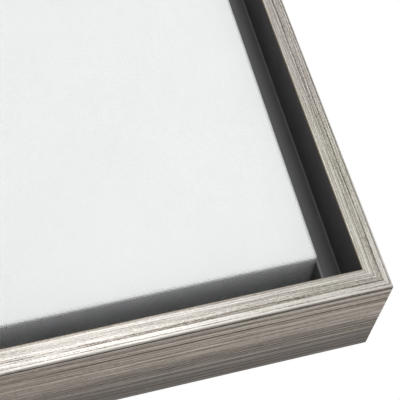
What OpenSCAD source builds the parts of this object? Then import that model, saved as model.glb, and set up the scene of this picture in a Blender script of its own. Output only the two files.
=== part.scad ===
// Floating frame holding a stretched canvas. Four mitred rails of stepped moulding
// stand round a canvas on stretcher bars, which is screwed to the rails' ledge from
// behind, so that a dark gap shows all round it. Two D-rings hang the frame.
//
// Sub-parts are drawn lying on their back: X to the right, Y up the picture and
// Z towards the viewer, with Z = 0 on the back of the wood. hung() then stands them up.

/* [Canvas] */
// Width of the stretched canvas
canvas_w = 203.2; // [180:0.1:300]
// Height of the stretched canvas
canvas_h = 254; // [200:0.1:400]
// Depth of the stretched canvas, front to back
canvas_d = 38; // [34:1:42]
// Thickness of the primed cotton
cloth_t = 0.6; // [0.4:0.1:0.8]
// Width of the cotton folded over the back of the bars
fold_w = 24; // [22:1:26]

/* [Moulding] */
// Width of the front face of a rail
face_w = 8; // [7.5:0.5:12]
// Gap between the canvas and the rail's wall
gap_w = 10.5; // [9:0.5:14]
// How far the canvas sits below the front face
recess = 8; // [4:0.5:10]
// Thickness of the ledge behind the canvas
ledge_t = 6; // [5:0.5:8]
// How far the ledge reaches behind the canvas
ledge_reach = 13.5; // [12:0.5:16]
// Depth from the front face down to the shelf in the gap
shelf_drop = 24.6; // [18:0.2:28]
// Width of the shelf
shelf_w = 7.2; // [6.5:0.1:8]

/* [Stretcher bars] */
// Width of a stretcher bar
bar_w = 28; // [27:1:34]
// Fall of the bar's front face away from its lip
bar_bevel = 3; // [1:0.5:5]

/* [Hanging hardware] */
// Height of the D-ring pivots, as a share of the frame's height
hang_share = 0.7; // [0.55:0.01:0.8]
// Diameter of the D-ring wire
wire_d = 2.4; // [2:0.1:2.6]
// Outside width of a D-ring
ring_w = 20; // [18:0.5:21]
// Height of the rubber bumpers, which sets the distance to the wall
bumper_h = 5; // [4.8:0.1:8]

/* [Hidden] */
$fn = 48;

// Frame
canvas_inset = face_w + gap_w;
rail_w = canvas_inset + ledge_reach;
frame_w = canvas_w + 2 * canvas_inset;
frame_h = canvas_h + 2 * canvas_inset;
frame_d = ledge_t + canvas_d + recess;
wood_back_y = (frame_d - bumper_h) / 2;

// Rounding of the moulding's edges
outer_r = 1.2;
inner_r = 0.4;
cove_r = 0.5;
shelf_r = 0.8;

// Stretcher frame, inside the cotton
bars_w = canvas_w - 2 * cloth_t;
bars_h = canvas_h - 2 * cloth_t;
bar_d = canvas_d - 2 * cloth_t;
bar_z = ledge_t + cloth_t;
bar_edge_r = 0.8;
bar_back_r = 0.6;
lip_w = 4;
lip_slope = 1;
tongue_d = bar_d / 3;
tongue_short = 0.5;
joint_gap = 0.1;

// Corner keys: wedges driven into slots beside each stretcher joint
key_t = 3;
key_in = 12;
key_out = 14;
key_side = 0.2;
key_tip_w = 6;
key_tail_w = 12;
key_level = 2.7;

// V-nails that pin the rails' mitres: [distance in from the outer edge, height]
v_nails = [[10, 12], [21, ledge_t - 1.5]];
v_leg = 7;
v_t = 0.6;
v_lip = 1.5;
v_sunk = 0.3;

// Screws that hold the canvas to the ledge, two a side
mount_len = 19;
mount_u = canvas_inset + 8;
mount_hole_r = 2.25;
mount_spread = 0.56;

// Screw form, shared by every screw
shank_r = 1.75;
head_r = 3.5;
head_h = 2.4;
dome_r = 4.7;
dome_cut = 0.15;
point_h = 3;
point_r = 0.2;
cross_w = 0.9;
cross_l = 3.8;
cross_d = 1.4;

// Staples through the fold of the cotton
staple_crown = 10;
staple_w = 0.9;
staple_t = 0.5;
staple_leg = 6;
staple_u = rail_w + 4;

// D-ring hanger
wire_r = wire_d / 2;
ring_r = ring_w / 2 - wire_r;
ring_arm = 4;
bend_r = 2.4;
loop_ir = wire_r + 0.05;
strap_sheet = 1;
loop_or = loop_ir + strap_sheet;
pivot_back = loop_or + 0.1;
strap_w = 10;
strap_t = 2 * strap_sheet;
strap_reach = 13;
strap_hole_r = 2;
seam_t = 0.16;
seam_d = 0.3;
hanger_u = face_w + 4;
hanger_y = frame_h * (hang_share - 0.5);
hanger_len = 13;

// Rubber bumpers, one near each corner
bumper_r = 6.35;
bumper_top_r = 5.4;
bumper_edge_r = 1;
bumper_u = 12;
bumper_inset = 42;

// Overlap that keeps a cut from ending exactly on a face
skin = 0.01;

BOTTOM = 0;
RIGHT = 1;
TOP = 2;
LEFT = 3;

// ---------- placing ----------

// Stands a part up: the picture's up becomes +Z and the viewer is towards -Y.
module hung() {
    translate([0, wood_back_y, frame_h / 2]) rotate([90, 0, 0]) children();
}

function side_length(side, w, h) = side % 2 == 0 ? w : h;

// Puts a piece on one side of a w by h rectangle. The piece is drawn along X,
// centred, with Y = 0 on the rectangle's outer edge and +Y towards its middle.
module on_side(side, w, h) {
    rotate([0, 0, 90 * side])
        translate([0, -side_length(side + 1, w, h) / 2, 0]) children();
}

// Puts a piece at one corner of a w by h rectangle, in from both edges by inset,
// with +X and +Y inwards. Corner 0 is bottom left, and the rest go anticlockwise,
// so that side s runs from corner s to the next.
module at_corner(corner, w, h, inset) {
    right = corner == 1 || corner == 2;
    top = corner >= 2;
    translate([(right ? 1 : -1) * (w / 2 - inset), (top ? 1 : -1) * (h / 2 - inset), 0])
        mirror([right ? 1 : 0, 0, 0]) mirror([0, top ? 1 : 0, 0]) children();
}

function ends_of(side) = [side, (side + 1) % 4];

// ---------- shared shapes ----------

module box(x0, x1, y0, y1, z0, z1) {
    translate([x0, y0, z0]) cube([x1 - x0, y1 - y0, z1 - z0]);
}

// What a rounded corner takes off: the corner is at the origin, its sides along +X, +Y.
module corner_waste(r) {
    difference() {
        translate([-skin, -skin]) square(r + skin);
        translate([r, r]) circle(r);
    }
}

// Extrudes a cross-section (X = in from the outer edge, Y = up from the back)
// along X, and cuts both ends at 45 degrees.
module mitred(length, width, depth) {
    intersection() {
        rotate([90, 0, 90]) linear_extrude(length, center = true) children();
        translate([0, 0, -1]) linear_extrude(depth + 2)
            polygon([[-length / 2, 0], [length / 2, 0],
                     [length / 2 - width, width], [width - length / 2, width]]);
    }
}

// The part of a screw that stands in wood, and the hole that it makes there.
module shank(length) {
    cylinder(r = shank_r, h = length - point_h);
    translate([0, 0, length - point_h]) cylinder(r1 = shank_r, r2 = point_r, h = point_h);
}

// A pan head wood screw. Its head is below Z = 0 and its point at Z = length.
module screw(length) {
    difference() {
        intersection() {
            translate([0, 0, -head_h]) cylinder(r = head_r, h = head_h);
            translate([0, 0, dome_r - dome_cut - head_h]) sphere(dome_r);
        }
        for (turn = [0, 90])
            rotate([0, 0, turn])
                box(-cross_l / 2, cross_l / 2, -cross_w / 2, cross_w / 2,
                    -head_h - 1, cross_d - head_h);
    }
    shank(length);
}

// ---------- rails ----------

// Cross-section of the moulding: front face and wall, shelf in the gap, ledge.
module moulding() {
    shelf_z = frame_d - shelf_drop;
    shelf_u = face_w + shelf_w;
    difference() {
        union() {
            square([face_w, frame_d]);
            square([shelf_u, shelf_z]);
            square([rail_w, ledge_t]);
            translate([face_w, shelf_z]) difference() {
                translate([-skin, -skin]) square(cove_r + skin);
                translate([cove_r, cove_r]) circle(cove_r);
            }
        }
        translate([0, frame_d]) rotate(-90) corner_waste(outer_r);
        translate([face_w, frame_d]) rotate(180) corner_waste(inner_r);
        translate([shelf_u, shelf_z]) rotate(180) corner_waste(shelf_r);
        translate([rail_w, ledge_t]) rotate(180) corner_waste(shelf_r);
        corner_waste(inner_r);
    }
}

module rail(side) {
    length = side_length(side, frame_w, frame_h);
    hung() difference() {
        on_side(side, frame_w, frame_h) mitred(length, rail_w, frame_d) moulding();
        at_mount_screws(side) cylinder(r = mount_hole_r, h = 4 * ledge_t, center = true);
        for (corner = ends_of(side)) v_nail_pair(corner, -1);
        if (side == LEFT || side == RIGHT) at_hanger(side) shank(hanger_len - strap_t);
    }
}

// One V-nail: a leg in each rail, from an apex on the mitre line outwards.
module v_nail(height) {
    linear_extrude(height) {
        translate([-v_t / 2, -v_leg]) square([v_t, v_leg + v_t / 2]);
        translate([-v_leg, -v_t / 2]) square([v_leg + v_t / 2, v_t]);
        translate([-v_t / 2, -v_leg]) square([v_lip, v_t]);
        translate([-v_leg, -v_t / 2]) square([v_t, v_lip]);
    }
}

// Both V-nails of a corner, or from below the back of the wood, the slots they leave.
module v_nail_pair(corner, from) {
    for (nail = v_nails)
        at_corner(corner, frame_w, frame_h, nail[0])
            translate([0, 0, from]) v_nail(nail[1] + v_sunk - from);
}

module v_nails_at(corner) {
    hung() v_nail_pair(corner, v_sunk);
}

// ---------- stretcher bars ----------

// Cross-section of a bar: a raised lip at the outer edge carries the cotton, and
// the rest of the front falls away from it.
module bar_section() {
    difference() {
        polygon([[0, 0], [bar_w, 0], [bar_w, bar_d - lip_slope - bar_bevel],
                 [lip_w + lip_slope, bar_d - lip_slope], [lip_w, bar_d], [0, bar_d]]);
        translate([0, bar_d]) rotate(-90) corner_waste(bar_edge_r);
        corner_waste(bar_back_r);
    }
}

// The square blocks at both ends of a bar, in the middle third of its depth.
// clear is added all round, and short is kept back from the outer edges.
module tongues(length, clear, short) {
    for (end = [-1, 1])
        translate([end * (length - bar_w - short) / 2, bar_w / 2, bar_d / 2])
            cube([bar_w - short + 2 * clear, bar_w - 2 * short + 2 * clear,
                  tongue_d + 2 * clear], center = true);
}

// Bottom and top bars end in tongues, and side bars in the slots for them.
module stretcher(side) {
    length = side_length(side, bars_w, bars_h);
    level = side % 2 == 0;
    hung() difference() {
        translate([0, 0, bar_z]) on_side(side, bars_w, bars_h) {
            mitred(length, bar_w, bar_d) bar_section();
            if (level) tongues(length, 0, tongue_short);
        }
        if (!level)
            translate([0, 0, bar_z]) on_side(side, bars_w, bars_h)
                tongues(length, joint_gap, 0);
        for (corner = ends_of(side)) key(corner, level, joint_gap);
        at_mount_screws(side) shank(mount_len);
        staple_row(side);
    }
}

// A wedge beside a joint. The upright one enters a bottom or top bar, and the
// other a side bar, on the other side of the mid-depth.
module key(corner, upright, clear) {
    middle = bar_z + bar_d / 2 + (upright ? 1 : -1) * key_level;
    at_corner(corner, canvas_w, canvas_h, cloth_t + bar_w)
        mirror(upright ? [0, 0, 0] : [1, -1, 0])
            translate([0, 0, middle - key_t / 2 - clear])
                linear_extrude(key_t + 2 * clear)
                    polygon([[key_side - clear, -key_in - clear],
                             [key_tip_w + clear, -key_in - clear],
                             [key_tail_w + clear, key_out + clear],
                             [key_side - clear, key_out + clear]]);
}

module keys_at(corner) {
    hung() for (upright = [true, false]) key(corner, upright, 0);
}

// ---------- canvas ----------

// Cross-section of the cotton at one side: front, side and the fold at the back.
module cloth_section() {
    difference() {
        square([fold_w, canvas_d]);
        translate([cloth_t, cloth_t]) difference() {
            square([fold_w, bar_d]);
            translate([0, bar_d]) rotate(-90) corner_waste(bar_edge_r);
            corner_waste(bar_back_r);
        }
        translate([0, canvas_d]) rotate(-90) corner_waste(bar_edge_r + cloth_t);
        corner_waste(bar_back_r + cloth_t);
    }
}

module cloth() {
    front_z = ledge_t + canvas_d;
    panel_x = canvas_w / 2 - fold_w + 1;
    panel_y = canvas_h / 2 - fold_w + 1;
    hung() difference() {
        union() {
            for (side = [BOTTOM:LEFT])
                translate([0, 0, ledge_t]) on_side(side, canvas_w, canvas_h)
                    mitred(side_length(side, canvas_w, canvas_h), fold_w, canvas_d)
                        cloth_section();
            box(-panel_x, panel_x, -panel_y, panel_y, front_z - cloth_t, front_z);
        }
        for (side = [BOTTOM:LEFT]) {
            at_mount_screws(side) shank(mount_len);
            staple_row(side);
        }
    }
}

// ---------- fasteners ----------

// Two places on each side, on the back of the ledge.
module at_mount_screws(side) {
    length = side_length(side, frame_w, frame_h);
    on_side(side, frame_w, frame_h)
        for (end = [-1, 1]) translate([end * length * mount_spread / 2, mount_u, 0]) children();
}

module mount_screws(side) {
    hung() at_mount_screws(side) screw(mount_len);
}

// A staple lies along its bar, with its legs towards +Z and its crown below Z = 0.
module staple() {
    outer = staple_crown / 2;
    inner = outer - staple_t;
    box(-outer, outer, -staple_w / 2, staple_w / 2, -staple_t, 0);
    box(-outer, -inner, -staple_w / 2, staple_w / 2, -staple_t, staple_leg);
    box(inner, outer, -staple_w / 2, staple_w / 2, -staple_t, staple_leg);
}

module staple_row(side) {
    span = side_length(side, frame_w, frame_h) - 2 * staple_u;
    count = side % 2 == 0 ? 4 : 5;
    on_side(side, frame_w, frame_h)
        for (i = [0:count - 1])
            translate([span * ((i + 0.5) / count - 0.5), staple_u, ledge_t]) staple();
}

module staples(side) {
    hung() staple_row(side);
}

// ---------- hanging hardware ----------

// Puts hardware on the back of a side rail, at the strap's screw. +Y stays up the
// picture, and +Z goes into the wood.
module at_hanger(side) {
    translate([(side == RIGHT ? 1 : -1) * (frame_w / 2 - hanger_u), hanger_y - strap_reach, 0])
        children();
}

// A folded strap: two layers on the wood, with the loop for the D-ring at the top.
module hanger_strap(side) {
    hung() at_hanger(side) difference() {
        union() {
            translate([0, 0, -strap_t]) cylinder(r = strap_w / 2, h = strap_t);
            box(-strap_w / 2, strap_w / 2, 0, strap_reach, -strap_t, 0);
            translate([0, strap_reach, -pivot_back]) rotate([0, 90, 0])
                cylinder(r = loop_or, h = strap_w, center = true);
        }
        translate([0, strap_reach, -pivot_back]) rotate([0, 90, 0])
            cylinder(r = loop_ir, h = strap_w + 2, center = true);
        cylinder(r = strap_hole_r, h = 3 * strap_t, center = true);
        for (edge = [-1, 1])
            translate([edge * strap_w / 2, strap_reach / 2 - 1, -strap_sheet])
                cube([2 * seam_d, strap_reach - 4, seam_t], center = true);
    }
}

// A D of round wire: bar in the loop, two bends, two arms and the bow.
module d_ring(side) {
    bar = ring_r - bend_r;
    hung() at_hanger(side) translate([0, strap_reach, -pivot_back]) {
        rotate([0, 90, 0]) cylinder(r = wire_r, h = 2 * bar, center = true);
        for (flip = [0, 1]) mirror([flip, 0, 0]) {
            translate([bar, bend_r, 0]) rotate([0, 0, -90])
                rotate_extrude(angle = 90) translate([bend_r, 0]) circle(wire_r);
            translate([ring_r, bend_r, 0]) rotate([-90, 0, 0])
                cylinder(r = wire_r, h = ring_arm);
        }
        translate([0, bend_r + ring_arm, 0])
            rotate_extrude(angle = 180) translate([ring_r, 0]) circle(wire_r);
    }
}

module hanger_screw(side) {
    hung() at_hanger(side) translate([0, 0, -strap_t]) screw(hanger_len);
}

// A moulded rubber foot, with a flat face towards the wall.
module bumper(corner) {
    shoulder = bumper_h - bumper_edge_r;
    hung() at_corner(corner, frame_w, frame_h, 0) translate([bumper_inset, bumper_u, 0])
        mirror([0, 0, 1]) rotate_extrude() {
            polygon([[0, 0], [bumper_r, 0], [bumper_top_r, shoulder], [0, shoulder]]);
            square([bumper_top_r - bumper_edge_r, bumper_h]);
            translate([bumper_top_r - bumper_edge_r, shoulder]) intersection() {
                circle(bumper_edge_r);
                square(bumper_edge_r);
            }
        }
}

// ---------- sub-parts ----------

LEAF = "#a49b8d";
PINE = "#d9bd8c";
BEECH = "#c9a06a";
COTTON = "#f0f0ee";
STEEL = "#b4b7bb";
BRASS = "#c2a45c";
RUBBER = "#2a2a2b";

module rail_bottom() { color(LEAF) rail(BOTTOM); }
module rail_right() { color(LEAF) rail(RIGHT); }
module rail_top() { color(LEAF) rail(TOP); }
module rail_left() { color(LEAF) rail(LEFT); }
module v_nails_bottom_left() { color(STEEL) v_nails_at(0); }
module v_nails_bottom_right() { color(STEEL) v_nails_at(1); }
module v_nails_top_right() { color(STEEL) v_nails_at(2); }
module v_nails_top_left() { color(STEEL) v_nails_at(3); }
module stretcher_bottom() { color(PINE) stretcher(BOTTOM); }
module stretcher_right() { color(PINE) stretcher(RIGHT); }
module stretcher_top() { color(PINE) stretcher(TOP); }
module stretcher_left() { color(PINE) stretcher(LEFT); }
module keys_bottom_left() { color(BEECH) keys_at(0); }
module keys_bottom_right() { color(BEECH) keys_at(1); }
module keys_top_right() { color(BEECH) keys_at(2); }
module keys_top_left() { color(BEECH) keys_at(3); }
module canvas() { color(COTTON) cloth(); }
module staples_bottom() { color(STEEL) staples(BOTTOM); }
module staples_right() { color(STEEL) staples(RIGHT); }
module staples_top() { color(STEEL) staples(TOP); }
module staples_left() { color(STEEL) staples(LEFT); }
module mount_screws_bottom() { color(BRASS) mount_screws(BOTTOM); }
module mount_screws_right() { color(BRASS) mount_screws(RIGHT); }
module mount_screws_top() { color(BRASS) mount_screws(TOP); }
module mount_screws_left() { color(BRASS) mount_screws(LEFT); }
module hanger_strap_left() { color(STEEL) hanger_strap(LEFT); }
module hanger_strap_right() { color(STEEL) hanger_strap(RIGHT); }
module d_ring_left() { color(STEEL) d_ring(LEFT); }
module d_ring_right() { color(STEEL) d_ring(RIGHT); }
module hanger_screw_left() { color(STEEL) hanger_screw(LEFT); }
module hanger_screw_right() { color(STEEL) hanger_screw(RIGHT); }
module bumper_bottom_left() { color(RUBBER) bumper(0); }
module bumper_bottom_right() { color(RUBBER) bumper(1); }
module bumper_top_right() { color(RUBBER) bumper(2); }
module bumper_top_left() { color(RUBBER) bumper(3); }

// ---------- output ----------

rail_bottom();
rail_right();
rail_top();
rail_left();
v_nails_bottom_left();
v_nails_bottom_right();
v_nails_top_right();
v_nails_top_left();
stretcher_bottom();
stretcher_right();
stretcher_top();
stretcher_left();
keys_bottom_left();
keys_bottom_right();
keys_top_right();
keys_top_left();
canvas();
staples_bottom();
staples_right();
staples_top();
staples_left();
mount_screws_bottom();
mount_screws_right();
mount_screws_top();
mount_screws_left();
hanger_strap_left();
hanger_strap_right();
d_ring_left();
d_ring_right();
hanger_screw_left();
hanger_screw_right();
bumper_bottom_left();
bumper_bottom_right();
bumper_top_right();
bumper_top_left();
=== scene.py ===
import math

import bpy
import numpy as np
from mathutils import Matrix, Vector


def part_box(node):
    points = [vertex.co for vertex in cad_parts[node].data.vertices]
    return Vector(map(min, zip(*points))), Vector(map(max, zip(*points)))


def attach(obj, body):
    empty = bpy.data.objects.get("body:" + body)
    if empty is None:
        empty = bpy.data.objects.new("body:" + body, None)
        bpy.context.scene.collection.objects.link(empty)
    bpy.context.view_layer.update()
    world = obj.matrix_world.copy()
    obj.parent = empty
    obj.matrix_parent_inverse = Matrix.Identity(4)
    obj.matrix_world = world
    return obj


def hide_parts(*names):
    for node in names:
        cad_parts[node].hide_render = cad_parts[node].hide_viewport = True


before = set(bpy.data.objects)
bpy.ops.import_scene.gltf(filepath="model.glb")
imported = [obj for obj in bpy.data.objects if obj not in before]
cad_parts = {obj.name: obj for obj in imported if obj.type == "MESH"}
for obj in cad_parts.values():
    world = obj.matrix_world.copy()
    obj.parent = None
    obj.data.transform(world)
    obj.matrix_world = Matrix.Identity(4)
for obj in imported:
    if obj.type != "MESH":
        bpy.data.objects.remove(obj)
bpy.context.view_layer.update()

# The looks of a floating frame: pewter leaf brushed along each rail, black paint in the
# gap, a primed canvas wrapped round its bars, and bare wood and zinc at the back.

MM = 0.001
BODY = "frame"
SIDES = ("bottom", "right", "top", "left")

# ---------- sizes read from the frame ----------

rail_low, rail_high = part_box("rail_right")
cloth_low, cloth_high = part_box("canvas")

FRONT = rail_low.y
WOOD_DEPTH = rail_high.y - rail_low.y
CENTRE = Vector((0, 0, (rail_low.z + rail_high.z) / 2))
HALF = {"right": rail_high.x, "top": rail_high.z - CENTRE.z}
HALF["left"] = HALF["right"]
HALF["bottom"] = HALF["top"]
VIEWER = Vector((0, -1, 0))
OUTWARD = {
    "bottom": Vector((0, 0, -1)),
    "right": Vector((1, 0, 0)),
    "top": Vector((0, 0, 1)),
    "left": Vector((-1, 0, 0)),
}

# The moulding's cross-section, as the CAD rails have it
FACE_W = 8 * MM
SHELF_DROP = 24.6 * MM
SHELF_W = 7.2 * MM
OUTER_R = 1.2 * MM
INNER_R = 0.4 * MM
BACK_R = 0.4 * MM

# Distances along the leaf's path over the moulding, from its edge at the back
SIDE_END = WOOD_DEPTH - BACK_R - OUTER_R
FACE_START = SIDE_END + OUTER_R * math.pi / 2
FACE_END = FACE_START + FACE_W - OUTER_R - INNER_R

# Where the leaf's painted shade towards the back, its groove with its painted shade, its painted
# highlight on the rounded edge, its calm strip and its bole lie on it
BACK_SHADE_FROM, BACK_SHADE_FULL = 38 * MM, 2 * MM
GROOVE_FROM, GROOVE_TO = SIDE_END - 1.0 * MM, SIDE_END - 0.05 * MM
GROOVE_MID, GROOVE_REACH = SIDE_END - 0.5 * MM, 0.35 * MM
ARRIS_HIGHLIGHT_FROM, ARRIS_HIGHLIGHT_TO = SIDE_END + 0.65 * MM, SIDE_END + 1.25 * MM
CALM_FROM, CALM_FULL = FACE_END - 3.4 * MM, FACE_END - 2.4 * MM
BOLE_FROM, BOLE_FULL = FACE_END - 0.15 * MM, FACE_END + 0.25 * MM

# Depths below the front face where the grey primer starts, whose light grey also stands in for
# light in the deep slot, and the bare wood of the back
PRIMER_FROM, PRIMER_FULL = SHELF_DROP + 1.2 * MM, SHELF_DROP + 2.4 * MM
BARE_FROM, BARE_FULL = WOOD_DEPTH - 0.5 * MM, WOOD_DEPTH - 0.3 * MM

# The cotton: its thickness, the fold's width on the back, its bends and its mesh
CLOTH_T = 0.6 * MM
FOLD_W = 24 * MM
CLOTH_R = 1.0 * MM
CLOTH_BACK_R = 1.2 * MM
CLOTH_CORNER_R = 1.6 * MM
THREAD_PITCH = 0.75 * MM
CLOTH_DEPTH = cloth_high.y - cloth_low.y
CLOTH_HALF = Vector((cloth_high.x, 0, (cloth_high.z - cloth_low.z) / 2))
CORNER_TURNS = 6
GRID_X, GRID_Z = 44, 54


def along(side):
    """The direction that a side's length runs in."""
    return VIEWER.cross(OUTWARD[side])


def half_length(side):
    """Half the length of a rail, at its outer edge."""
    return HALF["right"] if side in ("bottom", "top") else HALF["top"]


def round_at(side):
    """Where a side's middle lies on the way round the frame, so that streaks turn the corners."""
    return (SIDES.index(side) - 1) * (HALF["right"] + HALF["top"])


def place(side, t, u, d):
    """A point on a rail: t along it, u in from its outer face, d down from the front face."""
    flat = OUTWARD[side] * (HALF[side] - u) + along(side) * t
    return CENTRE + flat + Vector((0, FRONT + d, 0))


# ---------- meshes ----------

SHARP_ANGLE = math.radians(50)


def make_mesh(name, points, faces, uvs=None, values=None, smooth=True):
    """A mesh object. uvs holds one pair a point, and values one number a point for each name."""
    mesh = bpy.data.meshes.new(name)
    mesh.from_pydata([tuple(p) for p in points], [], faces)
    if uvs is not None:
        layer = mesh.uv_layers.new(name="UVMap")
        corner_points = np.empty(len(mesh.loops), np.int32)
        mesh.loops.foreach_get("vertex_index", corner_points)
        layer.data.foreach_set("uv", np.asarray(uvs, np.float32)[corner_points].ravel())
    for key, numbers in (values or {}).items():
        layer = mesh.attributes.new(key, "FLOAT", "POINT")
        layer.data.foreach_set("value", np.asarray(numbers, np.float32))
    mesh.polygons.foreach_set("use_smooth", [smooth] * len(mesh.polygons))
    mesh.validate()
    mesh.set_sharp_from_angle(angle=SHARP_ANGLE)
    made = bpy.data.objects.new(name, mesh)
    bpy.context.scene.collection.objects.link(made)
    return made


def grid_faces(rows, columns, start=0, flip=False):
    """Quads between the points of a grid that is stored row by row."""
    faces = []
    for r in range(rows - 1):
        for c in range(columns - 1):
            a = start + r * columns + c
            quad = (a, a + 1, a + columns + 1, a + columns)
            faces.append(quad[::-1] if flip else quad)
    return faces


def shell_faces(rows, columns):
    """A closed thin shell: an outer grid, an inner one stored after it, and the edges between."""
    count = rows * columns
    faces = grid_faces(rows, columns) + grid_faces(rows, columns, count, flip=True)
    for c in range(columns - 1):
        a, b = c, (rows - 1) * columns + c
        faces.append((a + 1, a, count + a, count + a + 1))
        faces.append((b, b + 1, count + b + 1, count + b))
    for r in range(rows - 1):
        a, b = r * columns, r * columns + columns - 1
        faces.append((a, a + columns, count + a + columns, count + a))
        faces.append((b + columns, b, count + b, count + b + columns))
    return faces


def smooth_noise(x, y, seed):
    """Smooth noise from 0 to 1 with a period of about one unit each way."""
    cells = 64
    table = np.random.default_rng(seed).random((cells, cells))
    x0, y0 = np.floor(x).astype(int), np.floor(y).astype(int)
    fx, fy = x - x0, y - y0
    fx, fy = fx * fx * (3 - 2 * fx), fy * fy * (3 - 2 * fy)
    x0, y0, x1, y1 = x0 % cells, y0 % cells, (x0 + 1) % cells, (y0 + 1) % cells
    near = table[x0, y0] * (1 - fx) + table[x1, y0] * fx
    far = table[x0, y1] * (1 - fx) + table[x1, y1] * fx
    return near * (1 - fy) + far * fy


# ---------- materials ----------

# The colour sockets of Blender's Mix node, which shares their names with its other sockets
MIX_A, MIX_B, MIX_RESULT = 6, 7, 2


class Shader:
    """A short way to write the nodes of a material or a world. A method that adds a node
    returns its output socket."""

    def __init__(self, owner):
        """owner is a new material or world."""
        owner.use_nodes = True
        self.owner = owner
        self.tree = owner.node_tree
        self.tree.nodes.clear()

    def add(self, kind, inputs=None, output=0, **settings):
        """A node of any kind. The values of inputs are sockets, numbers or colours."""
        node = self.tree.nodes.new(kind)
        for key, value in settings.items():
            setattr(node, key, value)
        for key, value in (inputs or {}).items():
            if isinstance(value, bpy.types.NodeSocket):
                self.tree.links.new(value, node.inputs[key])
            else:
                node.inputs[key].default_value = value
        return node.outputs[output] if node.outputs else None

    def split(self, vector):
        """The X, Y and Z of a vector."""
        node = self.tree.nodes.new("ShaderNodeSeparateXYZ")
        self.tree.links.new(vector, node.inputs[0])
        return tuple(node.outputs)

    def math(self, operation, a, b=0.0, c=0.0):
        return self.add("ShaderNodeMath", {0: a, 1: b, 2: c}, operation=operation)

    def plus(self, a, b):
        return self.math("ADD", a, b)

    def minus(self, a, b):
        return self.math("SUBTRACT", a, b)

    def times(self, a, b):
        return self.math("MULTIPLY", a, b)

    def over(self, a, b):
        return self.math("DIVIDE", a, b)

    def line(self, value, gain, base):
        """The value times the gain, plus the base."""
        return self.math("MULTIPLY_ADD", value, gain, base)

    def between(self, share, start, end):
        """Moves from start to end as the share goes from 0 to 1."""
        return self.line(share, end - start, start)

    def sum(self, *terms):
        """Adds up (socket, weight) pairs."""
        total = 0.0
        for socket, weight in terms:
            total = self.line(socket, weight, total)
        return total

    def smooth(self, value, low, high):
        """0 below low, 1 above high, with a soft change between them."""
        return self.add(
            "ShaderNodeMapRange",
            {"Value": value, "From Min": low, "From Max": high},
            interpolation_type="SMOOTHSTEP",
        )

    def band(self, value, low, high, soft):
        """1 between low and high, and 0 outside them."""
        above = self.smooth(value, low - soft, low + soft)
        below = self.minus(1.0, self.smooth(value, high - soft, high + soft))
        return self.times(above, below)

    def spread(self, value, gain):
        """Noise moved from about 0.5 to about 0, and made stronger."""
        return self.line(value, gain, -0.5 * gain)

    def vector(self, x, y, z=0.0):
        return self.add("ShaderNodeCombineXYZ", {0: x, 1: y, 2: z})

    def noise(self, vector, scale=1.0, detail=2.0, distortion=0.0):
        inputs = {"Vector": vector, "Scale": scale, "Detail": detail, "Distortion": distortion}
        return self.add("ShaderNodeTexNoise", inputs)

    def attribute(self, name):
        """A number that the mesh holds for each point."""
        return self.add("ShaderNodeAttribute", output="Fac", attribute_name=name)

    def ramp(self, value, *stops):
        """A colour ramp through (place, colour) pairs."""
        node = self.tree.nodes.new("ShaderNodeValToRGB")
        self.tree.links.new(value, node.inputs[0])
        elements = node.color_ramp.elements
        for element, (at, colour) in zip(elements, (stops[0], stops[-1])):
            element.position = at
            element.color = (*colour, 1)
        for at, colour in stops[1:-1]:
            elements.new(at).color = (*colour, 1)
        return node.outputs[0]

    def mix(self, share, a, b, blend="MIX"):
        """A colour mix. Colours are sockets or triples."""
        colours = {MIX_A: a, MIX_B: b}
        inputs = {0: share}
        for key, colour in colours.items():
            inputs[key] = colour if isinstance(colour, bpy.types.NodeSocket) else (*colour, 1)
        return self.add("ShaderNodeMix", inputs, MIX_RESULT, data_type="RGBA", blend_type=blend)

    def bump(self, height, distance, normal=None):
        """A surface normal from a height, over a rounded normal where there is one."""
        inputs = {"Height": height, "Distance": distance}
        if normal is not None:
            inputs["Normal"] = normal
        return self.add("ShaderNodeBump", inputs)

    def finish(self, **inputs):
        """Ends the material in a Principled shader. Underscores in the names stand for spaces."""
        named = {key.replace("_", " "): value for key, value in inputs.items()}
        surface = self.add("ShaderNodeBsdfPrincipled", named)
        self.add("ShaderNodeOutputMaterial", {"Surface": surface})
        return self.owner


def material_shader(name):
    """The shader of a new material."""
    return Shader(bpy.data.materials.new(name))


def object_xyz(shader):
    """The row frame's place of the shaded point in metres: as a vector, and as X, Y and Z."""
    position = shader.add("ShaderNodeTexCoord", output="Object")
    return position, shader.split(position)


def set_material(thing, material):
    """Makes a material the only one of an object."""
    thing.data.materials.clear()
    thing.data.materials.append(material)


# ---------- the leaf ----------

# Leaf tones from the dark of a hollow to the light of a ridge
SILVER = (
    (0.05, (0.075, 0.062, 0.052)),
    (0.33, (0.255, 0.222, 0.188)),
    (0.55, (0.465, 0.428, 0.385)),
    (0.95, (0.800, 0.772, 0.735)),
)
# A darker, browner copy of the leaf's tones for the outer side: painted shade
SHADED_PEWTER = (
    (0.05, (0.060, 0.044, 0.033)),
    (0.33, (0.206, 0.162, 0.126)),
    (0.55, (0.360, 0.300, 0.245)),
    (0.95, (0.620, 0.560, 0.490)),
)
BACK_SHADE = (0.02, 0.012, 0.008)
OLIVE = (0.97, 1.0, 0.94)
GROOVE_SHADE = (0.012, 0.010, 0.010)
ARRIS_HIGHLIGHT = (0.92, 0.91, 0.89)
BOLE = (0.15, 0.115, 0.065)

# How far the shell's outer face stands off the wood, and how far its inner face is let into it
LEAF_LIFT, LEAST_LIFT, LEAF_SUNK = 0.02 * MM, 0.008 * MM, 0.05 * MM
# The spacing of its mesh along the rail, and a shift in metres that picks its part of the noise
LEAF_ROW = 4 * MM
RELIEF_SHIFT = 1.0


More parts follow.
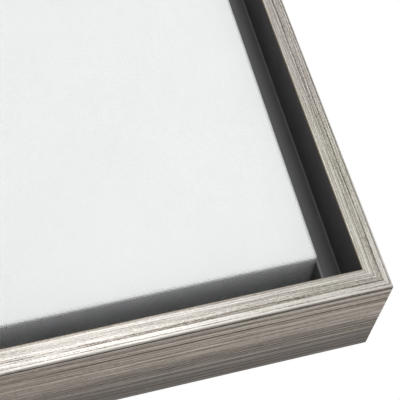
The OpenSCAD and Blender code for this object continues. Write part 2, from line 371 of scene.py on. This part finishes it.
def leaf_streaks(s, length, across, on_face):
    """The leaf's streaks by name: noise that is drawn out along the rail."""
    # Streaks on the broad side are wider than those on the narrow face
    spaced = s.times(s.minus(across, SIDE_END), s.between(on_face, 0.62, 1.0))

    def streak(width, reach, seed, detail=1):
        drawn_out = s.vector(s.over(length, reach), s.over(spaced, width), seed)
        return s.noise(drawn_out, detail=detail)

    return {
        "grit": streak(width=0.40 * MM, reach=0.6 * MM, seed=31.0),
        "speckle": streak(width=0.36 * MM, reach=1.7 * MM, seed=1.0),
        "dash": streak(width=0.42 * MM, reach=15 * MM, seed=5.0),
        "fine": streak(width=0.40 * MM, reach=220 * MM, seed=7.0),
        "medium": streak(width=0.9 * MM, reach=300 * MM, seed=13.0, detail=2),
        "broad": streak(width=3.0 * MM, reach=320 * MM, seed=17.0, detail=2),
        "scored": s.smooth(streak(width=0.46 * MM, reach=240 * MM, seed=23.0), 0.55, 0.62),
        "raised": s.smooth(streak(width=0.46 * MM, reach=240 * MM, seed=29.0), 0.56, 0.63),
    }


def leaf_tone(s, streaks, across, on_face):
    """How light the leaf is, from 0 to 1."""
    tone = s.sum(
        (s.spread(s.attribute("relief"), 0.28), 1.0),
        (s.spread(streaks["grit"], 0.65), on_face),
        (s.spread(streaks["speckle"], 0.6), 1.0),
        (s.spread(streaks["dash"], 0.9), 1.0),
        (s.spread(streaks["fine"], 1.0), s.between(on_face, 2.2, 1.4)),
        (s.spread(streaks["medium"], 0.4), 1.0),
        (s.spread(streaks["broad"], 0.12), 1.0),
        (streaks["scored"], -0.24),
        (streaks["raised"], 0.17),
    )
    # The strip of face beside the wall is lighter, and less streaked than the rest
    calm = s.smooth(across, CALM_FROM, CALM_FULL)
    tone = s.times(tone, s.between(calm, 1.0, 0.65))
    tone = s.line(calm, 0.03, tone)
    # Painted light: the face's tone is raised above the side's
    return s.plus(tone, s.between(on_face, 0.50, 0.62))


def leaf_colour(s, tone, length, across, on_face):
    """Silver on the face and a darker, browner copy on the side that is painted shade, with painted
    shade towards the back and in the groove, a painted highlight on the rounded outer edge, and the
    bole that the rubbing left at the inner edge.
    """
    colour = s.mix(on_face, s.ramp(tone, *SHADED_PEWTER), s.ramp(tone, *SILVER))
    # Painted shade: the leaf darkens towards its back edge
    towards_back = s.smooth(across, BACK_SHADE_FROM, BACK_SHADE_FULL)
    colour = s.mix(s.times(towards_back, 0.68), colour, BACK_SHADE)
    cloud = s.noise(s.vector(s.over(length, 60 * MM), s.over(across, 12 * MM)))
    colour = s.mix(s.smooth(cloud, 0.45, 0.75), colour, OLIVE, "MULTIPLY")
    # Painted shade: the groove is coloured near black
    groove_shade = s.band(across, GROOVE_FROM, GROOVE_TO, 0.08 * MM)
    colour = s.mix(groove_shade, colour, GROOVE_SHADE)
    # A painted highlight on the rounded outer edge
    arris_highlight = s.band(across, ARRIS_HIGHLIGHT_FROM, ARRIS_HIGHLIGHT_TO, 0.15 * MM)
    colour = s.mix(s.times(arris_highlight, 0.5), colour, ARRIS_HIGHLIGHT)
    inner_edge = s.smooth(across, BOLE_FROM, BOLE_FULL)
    return s.mix(s.times(inner_edge, 0.9), colour, BOLE)


def leaf_material():
    """Pewter leaf, brushed along the rail, with painted shade in its groove and towards the back, a
    painted highlight on its rounded outer edge, and rubbed back to the bole at its inner edge.
    """
    s = material_shader("pewter_leaf")
    length, across, _ = s.split(s.add("ShaderNodeUVMap", uv_map="UVMap"))
    on_face = s.smooth(across, SIDE_END, FACE_START)
    streaks = leaf_streaks(s, length, across, on_face)
    tone = leaf_tone(s, streaks, across, on_face)
    heights = {"speckle": 0.25, "dash": 0.5, "fine": 1.0, "scored": -0.5, "raised": 0.5}
    height = s.sum(*[(streaks[name], weight) for name, weight in heights.items()])
    return s.finish(
        Base_Color=leaf_colour(s, tone, length, across, on_face),
        Metallic=0.85,
        Roughness=s.line(streaks["fine"], -0.2, 0.48),
        Anisotropic=0.35,
        Anisotropic_Rotation=0.25,
        Tangent=s.add("ShaderNodeTangent", direction_type="UV_MAP", uv_map="UVMap"),
        Normal=s.bump(height, 0.03 * MM),
        Specular_IOR_Level=0.25,
    )


def leaf_path():
    """Points (u, d, normal u, normal d, distance) across the leaf, from the back edge of the
    outer side, round the outer edge and over the face to the wall's edge."""
    path = []
    side_steps = int(SIDE_END / (0.3 * MM))
    for i in range(side_steps):
        s = SIDE_END * i / side_steps
        path.append((0, WOOD_DEPTH - BACK_R - s, -1, 0, s))
    outer_steps = 8
    for i in range(outer_steps + 1):
        turn = math.pi / 2 * i / outer_steps
        at = OUTER_R - OUTER_R * math.cos(turn), OUTER_R - OUTER_R * math.sin(turn)
        path.append((*at, -math.cos(turn), -math.sin(turn), SIDE_END + OUTER_R * turn))
    face_steps = int((FACE_END - FACE_START) / (0.2 * MM))
    for i in range(1, face_steps):
        s = (FACE_END - FACE_START) * i / face_steps
        path.append((OUTER_R + s, 0, 0, -1, FACE_START + s))
    inner_steps = 4
    for i in range(inner_steps + 1):
        turn = math.pi / 2 * i / inner_steps
        at = FACE_W - INNER_R + INNER_R * math.sin(turn), INNER_R - INNER_R * math.cos(turn)
        path.append((*at, math.sin(turn), -math.cos(turn), FACE_END + INNER_R * turn))
    return path


def bell(value, middle, reach):
    """1 at the middle, and about 0 from twice the reach away."""
    return np.exp(-(((value - middle) / reach) ** 2))


def leaf_relief(s, way):
    """Brushed ridges from 0 to 1, at a distance across the leaf and a way round the frame. On
    the rounded edge they give way to an even, raised line."""
    wavy = s + 0.35 * MM * (smooth_noise(way / (90 * MM), s / (9 * MM), 5) - 0.5)
    coarse = smooth_noise(wavy / (1.5 * MM), way / (300 * MM), 40)
    middle = smooth_noise(wavy / (0.8 * MM), way / (150 * MM), 41)
    fine = smooth_noise(wavy / (0.45 * MM), way / (80 * MM), 42)
    ridges = 0.5 * coarse + 0.3 * middle + 0.2 * fine
    on_edge = bell(s, SIDE_END + OUTER_R * 0.5, 0.5 * MM)
    return ridges * (1 - on_edge) + 0.75 * on_edge


def leaf_lift(relief, s):
    """How far the leaf stands off the wood: more on its ridges, and less in the groove."""
    ridge_height = np.where(s < SIDE_END, 0.055, 0.035) * MM
    lift = LEAF_LIFT + relief * ridge_height
    return np.maximum(lift - bell(s, GROOVE_MID, GROOVE_REACH) * 0.09 * MM, LEAST_LIFT)


def make_leaf(side, material):
    """The leaf on one rail, with its ridges: a closed thin shell on the CAD rail's surface."""
    path = np.array(leaf_path())
    u, d, normal_u, normal_d, s = path.T
    rows, columns = int(2 * half_length(side) / LEAF_ROW), len(path)
    share = np.linspace(-1, 1, rows)[:, None]
    way = share * half_length(side) + round_at(side)
    relief = leaf_relief(*np.broadcast_arrays(s, way + RELIEF_SHIFT))
    lift = leaf_lift(relief, s)
    sunk = np.full_like(lift, -LEAF_SUNK)
    points, uvs = [], []
    for layer in (lift, sunk):
        uu = u + normal_u * layer
        dd = d + normal_d * layer
        tt = share * (half_length(side) - uu)
        for r in range(rows):
            for c in range(columns):
                points.append(place(side, tt[r, c], uu[r, c], dd[r, c]))
                uvs.append((way[r, 0], s[c]))
    values = {"relief": np.concatenate([relief.ravel(), relief.ravel()])}
    leaf_piece = make_mesh("leaf_" + side, points, shell_faces(rows, columns), uvs, values)
    set_material(leaf_piece, material)
    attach(leaf_piece, BODY)


# ---------- the rails ----------

BLACK_PAINT = ((0.3, (0.046, 0.043, 0.043)), (0.7, (0.056, 0.053, 0.054)))
RAIL_WOOD = (
    (0.3, (0.42, 0.29, 0.17)),
    (0.5, (0.60, 0.44, 0.28)),
    (0.7, (0.70, 0.54, 0.36)),
)
CANVAS_BOUNCE_GREY = (0.19, 0.19, 0.195)
SHELF_LIP_HIGHLIGHT = (0.50, 0.50, 0.50)
HAIRLINE_HIGHLIGHT = (0.15, 0.15, 0.15)
PRIMER_AND_SLOT_LIGHT = (0.42, 0.405, 0.41)
FLECK = (0.30, 0.30, 0.30)
GLUE_LINE = (0.10, 0.06, 0.03)


def along_axis(shader, xyz, direction):
    """The shaded point's coordinate along one of the row axes."""
    index = max(range(3), key=lambda k: abs(direction[k]))
    return shader.times(xyz[index], direction[index])


def rail_paint(s, side, position, across, depth):
    """Matt black paint, with painted light on the shelf that grows towards the canvas, a painted
    highlight on its lip and another in the hairline at the wall, and primer below it that is light
    enough to stand in for light in the deep slot.
    """
    wall = HALF[side] - FACE_W
    shelf_edge = wall - SHELF_W
    cloudy = s.noise(position, scale=60, detail=3)
    paint = s.ramp(cloudy, *BLACK_PAINT)
    # Painted light: the shelf's front face lightens towards the canvas, as if lit by it
    _, facing_back, _ = s.split(s.add("ShaderNodeNewGeometry", output="Normal"))
    faces_front = s.smooth(facing_back, -0.3, -0.9)
    inwards = s.smooth(across, wall - 0.5 * MM, shelf_edge)
    paint = s.mix(s.times(faces_front, inwards), paint, CANVAS_BOUNCE_GREY)
    # A painted highlight along the shelf's lip
    lip_highlight = s.band(across, shelf_edge - 0.3 * MM, shelf_edge + 0.7 * MM, 0.2 * MM)
    paint = s.mix(s.times(lip_highlight, 0.8), paint, SHELF_LIP_HIGHLIGHT)
    # A painted highlight in the hairline where the wall meets the shelf
    hairline_highlight = s.times(
        s.band(across, wall - 0.5 * MM, wall + 0.1 * MM, 0.08 * MM),
        s.band(depth, SHELF_DROP - 0.6 * MM, SHELF_DROP + 0.1 * MM, 0.08 * MM),
    )
    paint = s.mix(s.times(hairline_highlight, 0.7), paint, HAIRLINE_HIGHLIGHT)
    # Grey primer below the shelf, made light to stand in for light in the deep slot: partly painted
    # light
    primed_and_lit = s.smooth(depth, PRIMER_FROM, PRIMER_FULL)
    paint = s.mix(primed_and_lit, paint, PRIMER_AND_SLOT_LIGHT)
    from_fleck = s.add("ShaderNodeTexVoronoi", {"Vector": position, "Scale": 90.0})
    return s.mix(s.times(s.smooth(from_fleck, 0.035, 0.02), 0.25), paint, FLECK)


def rail_wood(s, side, way, across, grain):
    """Bare wood, with the dark line of the glued mitre at each end of the rail."""
    to_mitre = s.minus(s.plus(across, half_length(side) - HALF[side]), s.math("ABSOLUTE", way))
    joint = s.minus(1.0, s.smooth(to_mitre, 0.08 * MM, 0.35 * MM))
    return s.mix(s.times(joint, 0.75), s.ramp(grain, *RAIL_WOOD), GLUE_LINE)


def rail_material(side):
    """Paint on the rail's wall and shelf, with painted light and highlights on the shelf, grey
    primer below the shelf that also stands in for light in the deep slot, and bare wood behind.
    """
    s = material_shader("rail_paint_" + side)
    position, xyz = object_xyz(s)
    way = s.minus(along_axis(s, xyz, along(side)), CENTRE.dot(along(side)))
    across = s.minus(along_axis(s, xyz, OUTWARD[side]), CENTRE.dot(OUTWARD[side]))
    depth = s.minus(xyz[1], FRONT)
    speck = s.noise(position, scale=1400, detail=1)
    drawn_out = s.vector(s.over(way, 60 * MM), s.over(across, 0.9 * MM), s.over(depth, 0.9 * MM))
    grain = s.noise(drawn_out, detail=4, distortion=0.4)
    paint = rail_paint(s, side, position, across, depth)
    wood = rail_wood(s, side, way, across, grain)
    on_back = s.smooth(depth, BARE_FROM, BARE_FULL)
    return s.finish(
        Base_Color=s.mix(on_back, paint, wood),
        Roughness=s.between(on_back, 0.5, 0.7),
        Normal=s.bump(s.sum((speck, 0.6), (grain, 0.3)), 0.05 * MM),
        Specular_IOR_Level=0.4,
    )


# ---------- the canvas ----------

WHITE_PRIMER = ((0.35, (0.86, 0.868, 0.87)), (0.65, (0.875, 0.883, 0.885)))
RAW_COTTON = (0.66, 0.60, 0.48)
RIB_PITCH = 2.0 * MM


def plain_weave(s, u, v, wave):
    """Threads over and under each other, from 0 in the holes to 1 on top of a thread."""
    cos_u = s.math("COSINE", s.plus(s.over(s.times(u, math.pi), THREAD_PITCH), wave))
    cos_v = s.math("COSINE", s.plus(s.over(s.times(v, math.pi), THREAD_PITCH), wave))
    cross = s.times(cos_u, cos_v)
    warp = s.times(s.times(cos_u, cos_u), s.line(cross, 0.5, 0.5))
    weft = s.times(s.times(cos_v, cos_v), s.line(cross, -0.5, 0.5))
    return s.math("MAXIMUM", warp, weft)


def cloth_shade(s, u, v, wave, weave, past_edge, over_edge):
    """Painted shade: a grey that darkens the holes of the weave, and slanted ribs of painted light
    and shade where the cloth bends.
    """
    hole_shade = s.between(over_edge, 0.03, 0.16)
    shade = s.minus(1.0, s.times(s.minus(1.0, weave), hole_shade))
    slant = s.over(s.minus(u, v), RIB_PITCH)
    rib_shading = s.math("SINE", s.line(slant, 2 * math.pi, s.times(wave, 2.0)))
    bent = s.smooth(past_edge, -2.0 * MM, 2.0 * MM)
    shade = s.line(s.times(rib_shading, bent), 0.06, shade)
    return s.vector(shade, shade, shade)


def cloth_material():
    """Primed cotton: white outside, with the thread showing through the primer, and painted shade
    in the weave's holes and on slanted ribs near the edges.
    """
    s = material_shader("primed_canvas")
    uv = s.add("ShaderNodeUVMap", uv_map="UVMap")
    u, v, _ = s.split(uv)
    wave = s.between(s.noise(uv, scale=90, detail=1), -0.8, 0.8)
    weave = plain_weave(s, u, v, wave)
    past_x = s.minus(s.math("ABSOLUTE", u), CLOTH_HALF.x - CLOTH_R)
    past_z = s.minus(s.math("ABSOLUTE", v), CLOTH_HALF.z - CLOTH_R)
    past_edge = s.math("MAXIMUM", past_x, past_z)
    over_edge = s.smooth(past_edge, -0.8 * MM, 1.2 * MM)
    white = s.ramp(s.noise(uv, scale=25), *WHITE_PRIMER)
    shade = cloth_shade(s, u, v, wave, weave, past_edge, over_edge)
    colour = s.mix(1.0, white, shade, "MULTIPLY")
    slub = s.noise(uv, scale=900)
    height = s.times(s.sum((weave, 1.0), (slub, 0.35)), s.between(over_edge, 0.2, 1.0))
    return s.finish(
        Base_Color=s.mix(s.attribute("inside"), colour, RAW_COTTON),
        Roughness=0.85,
        Normal=s.bump(height, 0.42 * MM),
        Specular_IOR_Level=0.25,
    )


def cloth_outline():
    """Stations round the canvas: (side, share along it, angle of the outward direction).
    Each corner has several stations at one place, which turn from side to side."""
    stations = []
    for k, count in enumerate((GRID_Z, GRID_X, GRID_Z, GRID_X)):
        out = k * math.pi / 2
        for i in range(count + 1):
            stations.append((k, 2 * i / count - 1, out))
        for i in range(1, CORNER_TURNS):
            stations.append((k, 1, out + math.pi / 2 * i / CORNER_TURNS))
    return stations


def outward_of(station):
    """X and Z of the direction that a station's side faces."""
    out = station[0] * math.pi / 2
    return round(math.cos(out)), round(math.sin(out))


def outline_point(station, inset):
    """X and Z from the middle, at a station, for a loop that lies inset from the side faces."""
    _, share, angle = station
    radius = max(CLOTH_CORNER_R - inset, 0)
    reach_x = CLOTH_HALF.x - inset - radius
    reach_z = CLOTH_HALF.z - inset - radius
    out_x, out_z = outward_of(station)
    x = out_x * reach_x - out_z * share * reach_x
    z = out_z * reach_z + out_x * share * reach_z
    return x + radius * math.cos(angle), z + radius * math.sin(angle)


def cloth_levels():
    """The cotton's section as (inset, depth, distance along the cloth, inside) levels, from
    the front's rim round to the fold's edge, and back along the inside."""
    outer = []
    steps = 8
    for i in range(1, steps + 1):
        turn = math.pi / 2 * i / steps
        inset, depth = CLOTH_R * (1 - math.sin(turn)), CLOTH_R * (1 - math.cos(turn))
        outer.append((inset, depth, CLOTH_R * turn))
    bend = CLOTH_R * math.pi / 2
    side = CLOTH_DEPTH - CLOTH_R - CLOTH_BACK_R
    for i in range(1, steps):
        outer.append((0, CLOTH_R + side * i / steps, bend + side * i / steps))
    back_steps = 4
    for i in range(back_steps + 1):
        turn = math.pi / 2 * i / back_steps
        inset = CLOTH_BACK_R * (1 - math.cos(turn))
        depth = CLOTH_DEPTH - CLOTH_BACK_R * (1 - math.sin(turn))
        outer.append((inset, depth, bend + side + CLOTH_BACK_R * turn))
    for inset in (6 * MM, 13 * MM, 18 * MM, 22 * MM, FOLD_W):
        outer.append((inset, CLOTH_DEPTH, bend + side + inset))
    levels = [(*level, 0) for level in outer]
    for inset, depth, distance in reversed(outer):
        kept = min(max(depth, CLOTH_T), CLOTH_DEPTH - CLOTH_T)
        levels.append((max(inset, CLOTH_T), kept, distance, 1))
    return levels


def slack(x, z):
    """How far the face stands off its true place: a slack drum with faint draws at the staples."""
    wave = smooth_noise(x / (70 * MM) + 9, z / (70 * MM) + 9, 31) - 0.5
    draw = smooth_noise(x / (9 * MM) + 9, z / (9 * MM) + 9, 32) - 0.5
    edge = np.minimum(CLOTH_HALF.x - abs(x), CLOTH_HALF.z - abs(z))
    near = np.exp(-np.maximum(edge, 0) / (14 * MM))
    return 0.30 * MM * wave * (1 - near) + 0.10 * MM * draw * near


def bow(depth, share):
    """How far a side of the cloth bows out between its edges, at a depth and a share along it."""
    reach = 10 * MM
    from_front = 1 - min(depth / reach, 1)
    from_back = 1 - min((CLOTH_DEPTH - depth) / reach, 1)
    return 0.5 * MM * (1 - from_front**2) * (1 - from_back**2) * (1 - abs(share) ** 12)


def side_dent(station, inset, depth, run):
    """How far a side of the cloth lies in from flat, with soft dents. Bowed sides are below 0."""
    on_side = inset <= CLOTH_T and CLOTH_R < depth < CLOTH_DEPTH - CLOTH_BACK_R
    if not on_side:
        return 0.0
    k, share, _ = station
    dent = 0.25 * MM * float(smooth_noise(run / (28 * MM) + 5, depth / (15 * MM), 33 + k))
    dent *= math.sin(math.pi * depth / CLOTH_DEPTH) * (1 - abs(share) ** 6)
    return dent - bow(depth, share)


class Cloth:
    """The cloth's points, their places on the flat cotton, and which lie on its inside."""

    def __init__(self):
        self.points = []
        self.uvs = []
        self.inside = []

    def add(self, x, depth, z, uv, inside):
        """Adds a point by its place from the canvas's middle, and gives its number."""
        self.points.append(Vector((x, cloth_low.y + depth, CENTRE.z + z)))
        self.uvs.append(uv)
        self.inside.append(inside)
        return len(self.points) - 1

    def add_grid(self, depth, inside):
        """Adds the grid of points over the front, and gives the first one's number."""
        start = len(self.points)
        for j in range(GRID_Z + 1):
            for i in range(GRID_X + 1):
                x = (CLOTH_HALF.x - CLOTH_R) * (2 * i / GRID_X - 1)
                z = (CLOTH_HALF.z - CLOTH_R) * (2 * j / GRID_Z - 1)
                on_rim = min(i, j, GRID_X - i, GRID_Z - j) == 0
                lift = 0 if on_rim else float(slack(x, z))
                self.add(x, depth - lift, z, (x, z), inside)
        return start

    def add_loop(self, stations, inset, depth, distance, inside):
        """Adds a loop of points round the canvas, and gives their numbers."""
        loop = []
        for station in stations:
            x, z = outline_point(station, inset)
            bend_x, bend_z = outline_point(station, CLOTH_R)
            run = bend_z if station[0] % 2 == 0 else bend_x
            dent = side_dent(station, inset, depth, run)
            out_x, out_z = outward_of(station)
            angle = station[2]
            uv = bend_x + distance * math.cos(angle), bend_z + distance * math.sin(angle)
            loop.append(self.add(x - dent * out_x, depth, z - dent * out_z, uv, inside))
        return loop


def rim_index(start, station):
    """The number of the front grid's rim point that a station meets."""
    k, share, _ = station
    if k % 2 == 0:
        j = round((share if k == 0 else -share) * GRID_Z / 2 + GRID_Z / 2)
        return start + j * (GRID_X + 1) + (GRID_X if k == 0 else 0)
    i = round((-share if k == 1 else share) * GRID_X / 2 + GRID_X / 2)
    return start + (GRID_Z * (GRID_X + 1) if k == 1 else 0) + i


def ring_faces(one, two):
    """Faces between two loops of point numbers. Points that are the same are left out."""
    faces = []
    for i in range(len(one)):
        j = (i + 1) % len(one)
        ring = [one[i], two[i], two[j], one[j]]
        ring = [v for n, v in enumerate(ring) if v != ring[n - 1]]
        if len(ring) > 2:
            faces.append(tuple(ring))
    return faces


def make_canvas():
    """The cotton as one wrapped sheet with a thickness: front, sides, fold and inside."""
    stations = cloth_outline()
    cloth = Cloth()
    faces = grid_faces(GRID_Z + 1, GRID_X + 1, cloth.add_grid(0, 0))
    back = cloth.add_grid(CLOTH_T, 1)
    faces += grid_faces(GRID_Z + 1, GRID_X + 1, back, flip=True)
    loops = [[rim_index(0, station) for station in stations]]
    for level in cloth_levels():
        loops.append(cloth.add_loop(stations, *level))
    loops.append([rim_index(back, station) for station in stations])
    for one, two in zip(loops, loops[1:]):
        faces += ring_faces(one, two)
    canvas = make_mesh("canvas_cloth", cloth.points, faces, cloth.uvs, {"inside": cloth.inside})
    set_material(canvas, cloth_material())
    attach(canvas, BODY)
    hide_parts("canvas")


# ---------- bars and hardware ----------

# Wood as dark, middle and light tones, and metal and rubber as dark and light ones
PINE = ((0.44, 0.27, 0.12), (0.66, 0.47, 0.27), (0.78, 0.62, 0.42))
BEECH = ((0.42, 0.25, 0.14), (0.56, 0.37, 0.23), (0.66, 0.47, 0.31))
STEEL = ((0.52, 0.52, 0.51), (0.66, 0.66, 0.65))
YELLOW_ZINC = ((0.62, 0.49, 0.24), (0.78, 0.64, 0.36))
ZINC = ((0.50, 0.51, 0.53), (0.66, 0.67, 0.69))
RUBBER = ((0.020, 0.019, 0.018), (0.050, 0.048, 0.045))
X_AXIS, Z_AXIS = 0, 2
GRAIN_STRETCH = 45


def grain_material(name, length_axis, width, tones):
    """Bare wood with its grain along one of the row axes."""
    s = material_shader(name)
    _, xyz = object_xyz(s)
    widths = [width * GRAIN_STRETCH if k == length_axis else width for k in range(3)]
    drawn_out = s.vector(*[s.over(xyz[k], widths[k]) for k in range(3)])
    rings = s.noise(drawn_out, scale=0.35, distortion=0.8)
    fibre = s.noise(drawn_out, scale=2.0, detail=3)
    pore = s.noise(drawn_out, scale=7.0, detail=1)
    tone = s.sum(
        (s.spread(rings, 1.6), 1.0),
        (s.spread(fibre, 0.5), 1.0),
        (s.spread(pore, 0.4), 1.0),
    )
    dark, middle, light = tones
    return s.finish(
        Base_Color=s.ramp(s.plus(tone, 0.5), (0.15, dark), (0.5, middle), (0.85, light)),
        Roughness=0.65,
        Normal=s.bump(s.sum((fibre, 1.0), (pore, 0.5)), 0.06 * MM),
        Specular_IOR_Level=0.3,
    )


def metal_material(name, tones, roughness, edge=0.25 * MM):
    """Plated steel: slightly cloudy, with fine scratches and softened edges."""
    s = material_shader(name)
    position, _ = object_xyz(s)
    cloud = s.noise(position, scale=350, detail=3)
    scratch = s.noise(position, scale=2500, distortion=1.5)
    dark, light = tones
    rounded = s.add("ShaderNodeBevel", {"Radius": edge}, samples=4)
    return s.finish(
        Base_Color=s.ramp(cloud, (0.3, dark), (0.7, light)),
        Metallic=1.0,
        Roughness=s.plus(s.spread(cloud, 0.5), roughness),
        Normal=s.bump(scratch, 0.012 * MM, normal=rounded),
    )


def rubber_material():
    """Black rubber with a faintly specked skin."""
    s = material_shader("bumper_rubber")
    position, _ = object_xyz(s)
    speck = s.noise(position, scale=900)
    dark, light = RUBBER
    return s.finish(
        Base_Color=s.ramp(speck, (0.35, dark), (0.7, light)),
        Roughness=0.6,
        Normal=s.bump(speck, 0.05 * MM),
        Specular_IOR_Level=0.35,
    )


def dress(prefix, material):
    """Gives a material to every CAD node whose name starts with the prefix."""
    for name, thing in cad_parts.items():
        if name.startswith(prefix):
            set_material(thing, material)


def dress_hardware():
    """Gives every CAD node but the rails its material."""
    dress("stretcher_bottom", grain_material("pine_across", X_AXIS, 1.6 * MM, PINE))
    dress("stretcher_top", grain_material("pine_across_top", X_AXIS, 1.5 * MM, PINE))
    dress("stretcher_left", grain_material("pine_up", Z_AXIS, 1.6 * MM, PINE))
    dress("stretcher_right", grain_material("pine_up_right", Z_AXIS, 1.5 * MM, PINE))
    dress("keys", grain_material("beech", X_AXIS, 0.6 * MM, BEECH))
    bright = metal_material("bright_steel", STEEL, roughness=0.32, edge=0.1 * MM)
    dress("staples", bright)
    dress("v_nails", bright)
    dress("mount_screws", metal_material("yellow_zinc", YELLOW_ZINC, roughness=0.30))
    zinc = metal_material("zinc_plate", ZINC, roughness=0.30)
    dress("hanger", zinc)
    dress("d_ring", zinc)
    dress("bumper", rubber_material())


# ---------- the camera ----------

# The camera looks at the top right corner, with the right rail nearest. Its axes run from the
# corner's outer point: A up the right rail, B inwards along the top rail, and N to the viewer.
CORNER = Vector((HALF["right"], FRONT, rail_high.z))
AXIS_A, AXIS_B, AXIS_N = Vector((0, 0, 1)), Vector((-1, 0, 0)), VIEWER
EYE_A, EYE_B, EYE_N = -86.1 * MM, -90.1 * MM, 240.3 * MM
AIM_A, AIM_B = -53.3 * MM, 45.4 * MM
ROLL = math.radians(13.4)
# Blender takes these two in millimetres
LENS, SENSOR_W = 73.3, 36
NEAREST = 5 * MM


def from_corner(a, b, n):
    """A point by its distances from the corner along the three axes."""
    return CORNER + AXIS_A * a + AXIS_B * b + AXIS_N * n


def make_camera():
    """A camera at the eye point that looks at the aim point, rolled from B's direction."""
    eye = from_corner(EYE_A, EYE_B, EYE_N)
    back = (eye - from_corner(AIM_A, AIM_B, 0)).normalized()
    up = AXIS_B * math.cos(ROLL) + AXIS_A * math.sin(ROLL)
    right = up.cross(back).normalized()
    up = back.cross(right)
    data = bpy.data.cameras.new("camera")
    data.sensor_width = SENSOR_W
    data.lens = LENS
    data.clip_start = NEAREST
    camera = bpy.data.objects.new("camera", data)
    camera.matrix_world = Matrix.Translation(eye) @ Matrix((right, up, back)).transposed().to_4x4()
    bpy.context.scene.collection.objects.link(camera)
    bpy.context.scene.camera = camera


# ---------- the studio ----------

AMBIENT = 0.31
WARM, COOL = (1.0, 0.955, 0.90), (0.985, 0.992, 1.0)
WHITE = (1, 1, 1, 1)
FLOOR_GREY = (0.87, 0.87, 0.87, 1)
FLOOR_SIZE = 4.0

# Soft lamps: the direction to each, the angles where it starts and stops fading, its strength
LAMPS = (
    (Vector((0.22, -0.6, 0.75)), 12, 42, 1.62),  # the key, in front and above
    (Vector((0.35, 0.9, 0.5)), 20, 80, 0.4),  # behind
    (Vector((0, 0.1, 1)), 10, 50, 0.2),  # overhead
    (Vector((0.57, -0.82, 0)), 5, 35, 0.3),  # in front, at the right
)


def towards(s, xyz, axis):
    """The cosine of the angle between the light's direction and an axis."""
    return s.sum(*[(xyz[k], axis[k]) for k in range(3)])


def lobe(s, xyz, axis, inner, outer):
    """1 within the inner angle of a direction, and 0 beyond the outer one."""
    cosine = towards(s, xyz, axis.normalized())
    return s.smooth(cosine, math.cos(math.radians(outer)), math.cos(math.radians(inner)))


def front_light(s, xyz):
    """A broad sheet of light before the face, which is brighter in a ridge across its middle."""
    a, b, n = (towards(s, xyz, axis) for axis in (AXIS_A, AXIS_B, AXIS_N))
    ahead = s.smooth(n, -0.05, 0.45)
    low = s.minus(1.0, s.smooth(a, 0.04, 0.21))
    near = s.between(s.smooth(a, -0.48, -0.3), 0.5, 1.0)
    inner = s.between(s.smooth(b, -0.1, 0.25), 0.72, 1.0)
    dip = s.between(s.band(b, 0.5, 0.75, 0.08), 1.0, 0.6)
    ridge = s.between(s.band(a, -0.14, 0.07, 0.05), 1.1, 2.35)
    sheet = s.times(s.times(ahead, low), s.times(near, s.times(inner, dip)))
    return s.times(sheet, ridge)


def make_world():
    """Plain white behind the object, and a soft grey studio for everything else."""
    world = bpy.data.worlds.new("studio")
    bpy.context.scene.world = world
    s = Shader(world)
    xyz = s.split(s.add("ShaderNodeTexCoord", output="Generated"))
    terms = [(front_light(s, xyz), 1.0)]
    for axis, inner, outer, strength in LAMPS:
        terms.append((lobe(s, xyz, axis, inner, outer), strength))
    light = s.sum(*terms)
    tint = s.mix(s.smooth(light, 0.0, 0.4), WARM, COOL)
    studio = s.add("ShaderNodeBackground", {"Color": tint, "Strength": s.plus(light, AMBIENT)})
    white = s.add("ShaderNodeBackground", {"Color": WHITE, "Strength": 1.0})
    seen = s.add("ShaderNodeLightPath", output="Is Camera Ray")
    shown = s.add("ShaderNodeMixShader", {0: seen, 1: studio, 2: white})
    s.add("ShaderNodeOutputWorld", {"Surface": shown})


def make_floor():
    """A pale floor that fades to white. It takes shadows, and hides no light from below."""
    size = FLOOR_SIZE
    points = [(-size, -size, 0), (size, -size, 0), (size, size, 0), (-size, size, 0)]
    floor = make_mesh("floor", points, [(0, 1, 2, 3)], smooth=False)
    s = material_shader("floor")
    position, _ = object_xyz(s)
    distance = s.add("ShaderNodeVectorMath", {0: position}, "Value", operation="LENGTH")
    pale = s.add("ShaderNodeBsdfDiffuse", {"Color": FLOOR_GREY})
    white = s.add("ShaderNodeEmission", {"Color": WHITE, "Strength": 1.0})
    shown = s.add("ShaderNodeMixShader", {0: s.smooth(distance, 0.35, 1.3), 1: pale, 2: white})
    s.add("ShaderNodeOutputMaterial", {"Surface": shown})
    set_material(floor, s.owner)
    floor.visible_glossy = False
    floor.visible_shadow = False


# ---------- building ----------

leaf = leaf_material()
for side in SIDES:
    make_leaf(side, leaf)
    set_material(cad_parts["rail_" + side], rail_material(side))
make_canvas()
dress_hardware()
make_world()
make_floor()
make_camera()
bpy.context.scene.view_settings.view_transform = "Standard"
